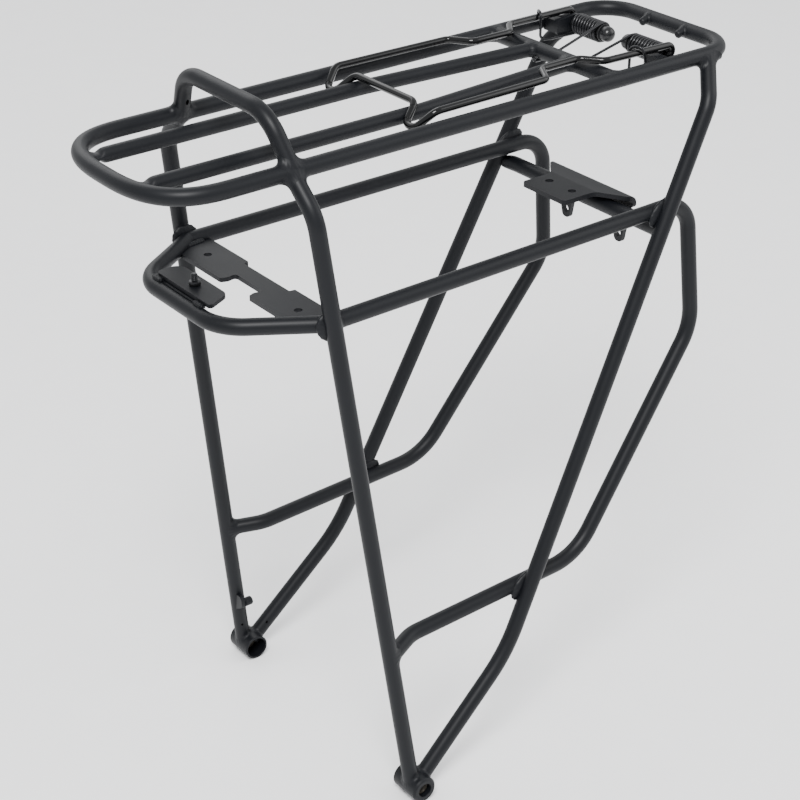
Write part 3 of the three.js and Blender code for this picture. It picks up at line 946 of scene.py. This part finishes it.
def vent(
    on: Array, along: Array, facing: Array, radius: float, half_width: float, half_length: float,
) -> Surface:
    """A small drilled hole drawn as a near-black lens that follows a tube's skin: painted shade of the hole's
    hollow inside.

    A point of the lens lies at (w r cos a) round the tube and (l r sin a) along it, a hair above the
    skin in the middle and a hair below it at the rim.

    Args:
        on: The point of the tube's axis that the hole stands over.
        along: The tube's direction.
        facing: The side of the tube that the hole is on.
        radius: The tube's radius.
        half_width: Half the hole's width round the tube.
        half_length: Half its length along the tube.

    Returns:
        The closed lens.
    """
    a = unit(along)
    out = unit(facing - (facing @ a) * a)
    across = np.cross(a, out)
    share = np.array([0.05, 0.5, 0.85, 1.0, 1.0, 0.5, 0.05])[:, None]
    height = np.array([0.06, 0.06, 0.05, -0.02, -0.3, -0.4, -0.4])[:, None]
    angle = np.linspace(0, 2 * np.pi, 28, endpoint=False)[None]
    turn = half_width * share * np.cos(angle) / radius
    reach = (radius + height)[:, :, None]
    rings = on + reach * (np.cos(turn)[..., None] * out + np.sin(turn)[..., None] * across)
    rings = rings + (half_length * share * np.sin(angle))[..., None] * a
    return ring_surface(rings, False)


@dataclass
class SideFrame:
    """One side: leg, strut, pannier rail, lug and their welds."""

    bench: Bench
    side: Side
    stock: Stock = field(default_factory=Stock)
    weld: Weld = field(default_factory=Weld)
    lean: float = -0.0536
    leg_start: tuple[float, float] = (-3.0, 97.6)
    leg_rake: float = -0.1088
    leg_bend_z: float = 389.0
    strut_start: tuple[float, float] = (41.5, 96.6)
    strut_rake: float = 0.524
    strut_bend_z: float = 387.0
    strut_low_z: float = 64.4
    deck: tuple[float, float] = (57.5, 409.4)
    lug_r: float = LUG_RADIUS
    lug_y: tuple[float, float] = (85.4, 107.6)
    bore: tuple[float, float, float] = (7.1, 14.0, 4.6)

    def leg_at(self, z: float) -> Array:
        """The leg's centre at a height, on the left."""
        return np.array([self.leg_start[0] + self.leg_rake * z, self.leg_start[1] + self.lean * z, z])

    def strut_at(self, z: float) -> Array:
        """The upper strut's centre at a height, on the left."""
        return np.array([self.strut_start[0] + self.strut_rake * z, self.strut_start[1] + self.lean * z, z])

    def leg_path(self) -> Array:
        """The leg from the lug to the loop; its centreline on the left."""
        y, z = self.deck
        return bent_path([(*self.leg_at(2), 0), (*self.leg_at(self.leg_bend_z), 24), (-46.6, y + 0.1, z - 1)])

    def strut_path(self) -> Array:
        """The strut from the lug, over its long low bend, to the loop.

        Returns:
            Its centreline on the left, one point per row.
        """
        y, z = self.deck
        low = self.strut_at(self.strut_low_z)
        return bent_path([
            (3.2, self.strut_start[1], 0.4),
            (75.4, low[1], self.strut_low_z, 100),
            (*self.strut_at(self.strut_bend_z), 22),
            (259.2, y, z - 1),
        ])

    def rail_path(self) -> Array:
        """The pannier rail from the leg's foot round to the tail; its centreline on the left."""
        return bent_path([
            (-12.4, 92.1, 99.0),
            (9, 82.3, 100.5, 26),
            (141.9, 82.2, 105.7, 40),
            (242.4, 73.1, 237, 35),
            (236.4, 69.7, 323.7, 20),
            (-36.3, 72.8, 322.4),
        ])

    def build(self) -> None:
        """Makes every piece of this side."""
        tail, place = self.side.tail, self.side.place
        tubes = {
            "leg_tube": (self.leg_path(), "rear_leg"),
            "strut_tube": (self.strut_path(), "front_strut"),
            "rail_tube": (self.rail_path(), "pannier_rail"),
        }
        for name, (path, node) in tubes.items():
            surface = sweep(place(spaced(path, 16)), self.stock.tube, Y_AXIS, self.stock.sides)
            self.bench.add(name + tail, surface, POWDER_COAT, Slot.FRAME, [node + tail])
        self._lug()
        self._insert()
        self._end_welds()
        self._touch_welds()
        if self.side is Side.LEFT:
            self._vents()

    def _lug(self) -> None:
        """The lug: a turned sleeve with a chamfered outer rim, a deep inner bore and a through hole."""
        inner, outer = self.lug_y
        bore, depth, hole = self.bore
        profile = rounded([
            (bore, inner, 0.35), (self.lug_r, inner, 0.6), (self.lug_r, outer - 1.3, 0.3),
            (self.lug_r - 1.2, outer, 0.3), (hole, outer, 0.4), (hole, inner + depth, 0.2),
            (bore, inner + depth, 0.4),
        ], 0.3)
        lug = turned(profile, (0, 0, 0), Y_AXIS * self.side.value, 72)
        self.bench.add("lug" + self.side.tail, lug, POWDER_COAT, Slot.FRAME, ["dropout_lug" + self.side.tail])

    def _insert(self) -> None:
        """The threaded insert: its bore's radius is 3.15 + 0.16 cos of a full turn for each 0.8 mm."""
        shoulder = self.lug_y[0] + self.bore[1] - 0.3
        thread_y = np.linspace(shoulder + 4.6, shoulder - 2.8, 80)
        thread_r = 3.15 + 0.16 * np.cos(2 * np.pi * thread_y / 0.8)
        outside = rounded([
            (3.3, shoulder - 3.2, 0.1), (5.7, shoulder - 3.2, 0.4), (6.1, shoulder - 2.4, 0.3),
            (6.1, shoulder, 0.2), (4.3, shoulder, 0.2), (4.3, shoulder + 5, 0.3), (3.3, shoulder + 5, 0.1),
        ], 0.2)
        profile = np.concatenate([outside, np.stack([thread_r, thread_y], axis=1)])
        insert = turned(profile, (0, 0, 0), Y_AXIS * self.side.value, 48)
        name = "threaded_insert" + self.side.tail
        # The insert's brass is darkened as painted shade of the bore.
        self.bench.add(name, insert, BRASS_WITH_BORE_SHADE, Slot.INSERT, ["lug_insert" + self.side.tail])

    def _bead(self, name: str, surface: Surface) -> None:
        """One weld of this side."""
        self.bench.add(name + self.side.tail, surface, POWDER_COAT, Slot.FRAME)

    def _end_welds(self) -> None:
        """Beads where the leg, strut and rail end on the loop, the lug and the leg."""
        place, r = self.side.place, self.stock.tube
        y, z = self.deck
        leg, strut, rail = self.leg_path(), self.strut_path(), self.rail_path()
        seed = 1.7 * self.side.value
        large = Weld(leg=4.4, fullness=0.12)
        for name, path in (("weld_leg_top", leg), ("weld_strut_top", strut)):
            axis = place([path[-1][0], y, z])
            bead = large.butt(place(path[-1]), place(path[-1] - path[-2]), r, axis, X_AXIS, r, seed)
            self._bead(name, bead)
        small = Weld(leg=2.0)
        for name, path in (("weld_leg_foot", leg), ("weld_strut_foot", strut)):
            into = place(path[0] - path[1])
            bead = small.butt(place(path[0]), into, r, np.zeros(3), Y_AXIS, self.lug_r, seed + 1)
            self._bead(name, bead)
        axis = place(self.leg_at(99))
        along = place(self.leg_at(100)) - axis
        into = place(rail[0] - rail[1])
        foot = Weld(leg=4.0, fullness=0.14)
        self._bead("weld_rail_foot", foot.butt(place(rail[0]), into, r, axis, along, r, seed + 2))

    def _touch_welds(self) -> None:
        """Puddles of weld where the rail lies against the strut, twice, and against the leg."""
        place, r = self.side.place, self.stock.tube
        low = (np.array([90.0, 82.25, 103.7]), np.array([1.0, 0.0, 0.039]))
        top = (np.array([205.0, 70.1, 323.5]), np.array([-1.0, 0.0113, -0.0048]))
        rear = (np.array([-38.0, 72.8, 322.4]), np.array([-1.0, 0.0113, -0.0048]))
        strut_way = self.strut_at(200) - self.strut_at(100)
        leg_way = self.leg_at(200) - self.leg_at(100)
        cases = {
            "weld_rail_strut_low": (low, self.strut_at(104), strut_way),
            "weld_rail_strut_top": (top, self.strut_at(323), strut_way),
            "weld_rail_leg": (rear, self.leg_at(322), leg_way),
        }
        for index, (name, ((point, way), other, other_way)) in enumerate(cases.items()):
            bead = self.weld.touch(place(point), place(way), place(other), place(other_way), r, index)
            self._bead(name, bead)

    def _vents(self) -> None:
        """The two small drilled holes low on the left side, each a near-black lens of painted shade."""
        leg_way = self.leg_at(20) - self.leg_at(10)
        facing = np.array([-0.35, -1.0, 0.0])
        leg = vent(self.leg_at(19), leg_way, facing, self.stock.tube, 0.9, 0.9)
        self.bench.add("leg_vent", leg, HOLE_PAINTED_SHADE, Slot.FRAME)
        path = self.strut_path()
        way = unit(path[1] - path[0])
        strut = vent(path[0] + way * 15.5, way, np.array([-0.2, -1.0, 0.6]), self.stock.tube, 0.7, 1.0)
        self.bench.add("strut_vent", strut, HOLE_PAINTED_SHADE, Slot.FRAME)


@dataclass
class Tail:
    """The tail loop with the mudguard plate, the light plate and its stud."""

    bench: Bench
    stock: Stock = field(default_factory=Stock)
    x: float = -87.9
    corner_y: float = 40.0
    bend: float = 30.0
    rail_end: tuple[float, float, float] = (-36.3, 72.8, 322.4)
    stud_x: float = -77.5
    tab_y: tuple[float, float] = (26.0, -18.0)

    def path(self) -> Array:
        """The loop from the left rail's end to the right one's.

        Returns:
            Its centreline, one point per row.
        """
        x, y, z = self.rail_end
        half = [(x, y, z, 0), (x - 2.5, y, z, 3), (self.x, self.corner_y, z, self.bend)]
        return bent_path(half + [(a, -b, c, r) for a, b, c, r in reversed(half)])

    def build(self) -> None:
        """Makes the loop, both plates, the stud and their beads."""
        loop = sweep(spaced(self.path(), 10), self.stock.tube, Z_AXIS, self.stock.sides)
        self.bench.add("tail_tube", loop, POWDER_COAT, Slot.FRAME, ["tail_loop"])
        self.bench.rounded_copy("mudguard_plate", "mudguard_sheet", SHEET_COAT, Slot.PLATE, 0.5)
        self.bench.rounded_copy("tail_light_plate", "light_sheet", SHEET_COAT, Slot.PLATE, 0.45)
        self._stud()
        self._lip()
        self._tab_beads()
        self._plate_beads()

    def _stud(self) -> None:
        """The stud: head below the plate, washer and threaded end above it."""
        z = np.linspace(333.9, 337.3, 60)
        r = 2.0 - 0.14 * (1 + np.cos(2 * np.pi * z / 0.7))
        low = rounded([(0.05, 323, 0.02), (3.6, 323, 0.6), (3.6, 328.1, 0.2), (1.9, 328.1, 0.1)], 0.2)
        order = np.argsort(np.hypot(low[:, 0] - 0.05, low[:, 1] - 323))[0]
        low = np.roll(low, -order, axis=0)
        rest = np.array([[1.9, 331.1], [3.3, 331.15], [3.4, 331.3], [3.4, 333.1], [3.2, 333.5], [2.0, 333.7]])
        tip = np.array([[1.8, 337.6], [1.3, 338.0], [0.05, 338.0]])
        profile = np.concatenate([low, rest, np.stack([r, z], axis=1), tip])
        stud = turned(profile, (self.stud_x, 0, 0), Z_AXIS, 36)
        self.bench.add("light_stud", stud, BLACK_ZINC, Slot.STUD, ["tail_light_stud"])

    def _lip(self) -> None:
        """The light plate's folded lip: a thin strip down in the slot between the plate and the tube."""
        z = self.rail_end[2]
        ends = np.array([[-83.0, self.tab_y[0] - 2, z + 4.2], [-83.0, self.tab_y[1] + 2, z + 4.2]])
        lip = sweep(spaced(ends, 6), 3.2, Z_AXIS, 20, height=1.1)
        self.bench.add("light_sheet_lip", lip, SHEET_COAT, Slot.PLATE)

    def _tab_beads(self) -> None:
        """A short run of weld along each tab of the light plate."""
        for index, y in enumerate(self.tab_y):
            ends = np.array([[-86.3, y - 4.6, 327.6], [-86.3, y + 4.6, 327.6]])
            self._run(f"weld_light_tab_{index + 1}", ends, 1.9, index)

    def _plate_beads(self) -> None:
        """A run of weld along each end of the mudguard plate, where it meets the tube."""
        for side in Side:
            ends = side.place(np.array([[-46.5, 65.2, 322.0], [-30.5, 67.4, 322.0]]))
            self._run("weld_mudguard" + side.tail, ends, 2.0, side.value)

    def _run(self, name: str, ends: Array, size: float, seed: float) -> None:
        """One straight run of weld, with ripples along it and tapered ends.

        Args:
            name: The piece's name.
            ends: Its two end points.
            size: Its radius.
            seed: Shifts the ripples.
        """
        path = spaced(ends, 0.35)
        s = np.linspace(0, 1, len(path))
        length = float(np.linalg.norm(ends[1] - ends[0]))
        shape = np.sqrt(np.clip(1 - (2 * s - 1) ** 6, 0.004, 1))
        ripple = 1 + 0.05 * np.sin(2 * np.pi * s * length / 1.8 + seed)
        self.bench.add(name, sweep(path, size * shape * ripple, SKEW, 16), POWDER_COAT, Slot.FRAME)


@dataclass
class Front:
    """The bridge tube and its sheet bracket."""

    bench: Bench
    stock: Stock = field(default_factory=Stock)
    x: float = 211.9
    z: float = 310.6

    def build(self) -> None:
        """Makes the bridge, whose ends turn back into the struts and taper, and the bracket."""
        y = np.array([0.0, 24.0, 48.0, 66.0, 70.0, 73.0, 75.2, 76.8])
        back = np.array([0.0, 0.0, 0.0, 0.0, 0.3, 1.2, 2.6, 4.0])
        size = self.stock.tube * np.array([1.0, 1.0, 1.0, 1.0, 1.0, 0.95, 0.84, 0.66])
        half = np.stack([self.x - back, y, np.full_like(y, self.z)], axis=1)
        path = np.concatenate([(half[1:] * [1, -1, 1])[::-1], half])
        sizes = np.concatenate([size[1:][::-1], size])
        bridge = sweep(path, sizes, Z_AXIS, self.stock.sides)
        self.bench.add("bridge_tube", bridge, POWDER_COAT, Slot.FRAME, ["front_bridge_tube"])
        self.bench.rounded_copy("front_bracket", "stay_bracket", SHEET_COAT, Slot.PLATE, 0.55)


@dataclass
class LegHook:
    """The small tab and peg on the inner face of the left leg."""

    bench: Bench
    peg_y: float = 86.4
    peg_z: float = 40.2

    def build(self) -> None:
        """Makes the tab and the domed peg."""
        self.bench.rounded_copy("hook_tab", "hook_tab_sheet", POWDER_COAT, Slot.FRAME, 0.4)
        s = np.array([-7.2, -4, -2.4, -1.9, -1.6, -1.45, -1.4])
        size = np.array([3.0, 3.0, 3.0, 2.8, 2.3, 1.4, 0.2])
        path = np.stack([s, np.full_like(s, self.peg_y), np.full_like(s, self.peg_z)], axis=1)
        peg = sweep(path, size, Z_AXIS, 32)
        self.bench.add("hook_round_peg", peg, POWDER_COAT, Slot.FRAME, ["hook_peg"])


@dataclass
class Clamp:
    """The sprung wire clamp: bail, caps, springs, sleeves and pivot brackets."""

    bench: Bench
    wire: float = 2.2
    spring_wire: float = 0.9
    arm_z: float = 417.0
    pivot: tuple[float, float] = (237.5, 409.5)
    coil_r: float = 6.0
    turns: float = 9.5
    coil_y: tuple[float, float] = (14.5, 38.2)

    def bail_half(self) -> Array:
        """The wire from the middle of the handle to the end of the left axle.

        Returns:
            Its centreline, one point per row.
        """
        x, z = self.pivot
        top = self.arm_z
        return bent_path([
            (57, 0, top), (57, 29.5, top, 6.5), (46, 34.6, 408, 5.5), (46, 43, 407.6, 5.5),
            (56.5, 49.3, top, 7), (139, 47.5, top, 5.5), (147.5, 32.5, top + 0.5, 6),
            (176.5, 32, top + 0.5, 7), (186.5, 45, top + 0.4, 7), (243, 46.3, top - 0.2, 3.6),
            (x, 46.3, z, 2.6), (x, 9.5, z),
        ], step=6)

    def spring_path(self) -> Array:
        """The left spring: inner leg, coil and outer hook, as one line.

        Returns:
            Points of the leg's bends, a helix x = r cos a, z = r sin a with y rising evenly, and the hook.
        """
        x, z = self.pivot
        low, high = self.coil_y
        r = self.coil_r
        lead = bent_path([
            (178.4, 12, 406.6), (179.6, 12, 403.6, 1.6), (190, 12, 403.6, 8), (x - 2.2, low - 0.2, z + r),
        ], step=10)
        count = int(self.turns * 44)
        angle = math.pi / 2 - np.linspace(0, 2 * math.pi * self.turns, count)
        coil = np.stack([x + r * np.cos(angle), np.linspace(low, high, count), z + r * np.sin(angle)], axis=1)
        hook = bent_path([
            (x - 3, high + 0.2, z - r), (216, 39.2, 403.6, 4), (209, 41.6, 403.8, 3.4),
            (209.5, 41.6, 420.9, 3.4), (213, 49.3, 420.9, 3.4), (216, 49.1, 408.5),
        ], step=10)
        return np.concatenate([lead, coil, hook])

    def build(self) -> None:
        """Makes every piece of the clamp."""
        half = self.bail_half()
        path = np.concatenate([(half[1:] * [1, -1, 1])[::-1], half])
        bail = sweep(path, self.wire, SKEW, 24)
        self.bench.add("bail_wire", bail, GLOSS_WIRE, Slot.WIRE, ["clamp_bail"], Body.CLAMP, 60)
        for side in Side:
            self._spring(side)
            self._cap(side)
            self._sleeve(side)
            bracket, ear = "pivot_bracket" + side.tail, "pivot_ear" + side.tail
            self.bench.rounded_copy(bracket, ear, POWDER_COAT, Slot.FRAME, 0.4)

    def _spring(self, side: Side) -> None:
        """One torsion spring, between the rack and the clamp, left on neither body.

        Args:
            side: The side that it is on.
        """
        path = side.place(self.spring_path())
        spring = sweep(path, self.spring_wire, SKEW if side is Side.LEFT else SKEW * [1, -1, 1], 14)
        name = "torsion_spring" + side.tail
        node = "clamp_spring" + side.tail
        piece = self.bench.add(name, spring, BLACK_SPRING, Slot.SPRING, [node], None, 70)
        x, z = self.pivot
        start, end = (side.place([x, y, z]) * MM for y in self.coil_y)
        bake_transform(piece)

    def _cap(self, side: Side) -> None:
        """One domed cap on the axle's end: a cylinder closed by part of an ellipse.

        Args:
            side: The side that it is on.
        """
        x, z = self.pivot
        angle = np.linspace(0, np.pi / 2, 16)
        dome = np.stack([4.9 * np.cos(angle) + 0.02, 9.6 - 4.4 * np.sin(angle)], axis=1)
        skirt = np.array([[2.55, 12.3], [4.6, 12.3], [4.9, 12.0]])
        inside = np.array([[0.02, 8.6], [2.55, 8.6]])
        cap = turned(np.concatenate([skirt, dome, inside]), (x, 0, z), Y_AXIS * side.value, 40)
        node = "spring_cap" + side.tail
        self.bench.add("axle_cap" + side.tail, cap, CAP_PLASTIC, Slot.CAP, [node], Body.CLAMP)

    def _sleeve(self, side: Side) -> None:
        """One flanged sleeve inside the coil.

        Args:
            side: The side that it is on.
        """
        x, z = self.pivot
        profile = rounded([(2.5, 12.6), (5.8, 12.6), (5.8, 13.4), (4.5, 13.4), (4.5, 40.1), (2.5, 40.1)], 0.18)
        sleeve = turned(profile, (x, 0, z), Y_AXIS * side.value, 40)
        self.bench.add("coil_sleeve" + side.tail, sleeve, NYLON, Slot.SLEEVE, ["pivot_sleeve" + side.tail])


# ---- studio ----


@dataclass(frozen=True)
class Lamp:
    """A square soft light aimed at the middle of the carrier."""

    name: str
    place: tuple[float, float, float]
    size: float
    power: float


@dataclass
class Studio:
    """The pale floor, soft lights and the camera."""

    aim: tuple[float, float, float] = (0.08, 0.0, 0.22)
    lens: float = 90.38
    camera_place: tuple[float, float, float] = (-0.5889, -0.8983, 0.8100)
    heading: float = -36.01
    tilt: float = 61.61
    roll: float = -0.99
    world_strength: float = 1.15
    floor_reach: float = 9.0
    lamps: tuple[Lamp, ...] = (
        Lamp("key_soft", (-0.9, -1.1, 2.2), 0.9, 84.0),
        Lamp("fill_soft", (1.6, -0.9, 1.3), 1.4, 16.0),
        Lamp("back_soft", (0.4, 1.8, 1.7), 1.5, 16.0),
    )

    def build(self) -> None:
        """Makes the floor, the world, the lights and the camera."""
        self._floor()
        self._world()
        for lamp in self.lamps:
            self._lamp(lamp)
        self._camera()

    def _floor(self) -> None:
        """A wide pale floor just under the lugs, with a faint mottle."""
        mesh = bpy.data.meshes.new("studio_floor")
        low = min(CAD_BOX[0][2], -LUG_RADIUS * MM) - FLOOR_GAP * MM
        reach = self.floor_reach
        corners = [(-reach, -reach, low), (reach, -reach, low), (reach, reach, low), (-reach, reach, low)]
        mesh.from_pydata(corners, [], [(0, 1, 2, 3)])
        floor = bpy.data.objects.new("studio_floor", mesh)
        bpy.context.scene.collection.objects.link(floor)
        paper = Finish("pale_paper", (0.9, 0.9, 0.905), (0.93, 0.93, 0.935), 0.9, specular=0.1, scuffs=0.0)
        floor.data.materials.append(paper.material())

    def _world(self) -> None:
        """An even pale sky."""
        world = bpy.data.worlds.new("pale_sky")
        world.use_nodes = True
        sky = world.node_tree.nodes["Background"]
        sky.inputs["Color"].default_value = (0.98, 0.99, 1.0, 1.0)
        sky.inputs["Strength"].default_value = self.world_strength
        bpy.context.scene.world = world

    def _lamp(self, lamp: Lamp) -> None:
        """One square light turned to the aim.

        Args:
            lamp: Its place, size and power.
        """
        data = bpy.data.lights.new(lamp.name, "AREA")
        data.shape = "SQUARE"
        data.size = lamp.size
        data.energy = lamp.power
        light = bpy.data.objects.new(lamp.name, data)
        bpy.context.scene.collection.objects.link(light)
        back = unit(np.array(lamp.place) - np.array(self.aim))
        right = unit(np.cross(Z_AXIS, back))
        turn = np.eye(4)
        turn[:3, 0], turn[:3, 1], turn[:3, 2], turn[:3, 3] = right, np.cross(back, right), back, lamp.place
        light.matrix_world = Matrix(turn.tolist())

    def _camera(self) -> None:
        """The camera: heading about Z, tilt about X, then a slight roll about its own view."""
        data = bpy.data.cameras.new("view")
        data.lens = self.lens
        data.sensor_width = 36.0
        camera = bpy.data.objects.new("view", data)
        bpy.context.scene.collection.objects.link(camera)
        turn = Matrix.Rotation(math.radians(self.heading), 4, "Z")
        turn @= Matrix.Rotation(math.radians(self.tilt), 4, "X")
        turn @= Matrix.Rotation(math.radians(self.roll), 4, "Z")
        camera.matrix_world = Matrix.Translation(self.camera_place) @ turn
        bpy.context.scene.camera = camera


def main() -> None:
    """Builds the studio and the carrier."""
    logging.basicConfig(level=logging.INFO, format="%(message)s")
    Studio().build()
    bench = Bench()
    Deck(bench).build()
    for side in Side:
        SideFrame(bench, side).build()
    Tail(bench).build()
    Front(bench).build()
    LegHook(bench).build()
    Clamp(bench).build()
    LOG.info("%d pieces", len(bench.made))


if __name__ == "__main__":
    main()
